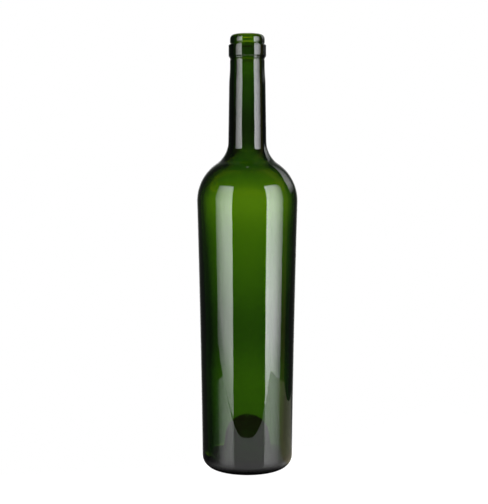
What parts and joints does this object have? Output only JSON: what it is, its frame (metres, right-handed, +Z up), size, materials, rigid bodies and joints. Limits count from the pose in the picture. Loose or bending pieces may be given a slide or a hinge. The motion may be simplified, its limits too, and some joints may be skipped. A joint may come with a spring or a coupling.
{
  "type": "wine bottle",
  "caption": "Empty dark green glass wine bottle with a tapered body, round shoulder, banded cork mouth and deep punt.",
  "frame": {"origin": "middle of the base, on the plane that the bottle stands on", "axes": "+Z up along the bottle's own axis, towards the mouth; the bottle is round, so +X and +Y are any two directions across it"},
  "size_m": [0.077, 0.077, 0.332],
  "materials": {
    "green_glass": "gloss"
  },
  "bodies": {
    "root": {"bottle": "green_glass"}
  },
  "joints": []
}
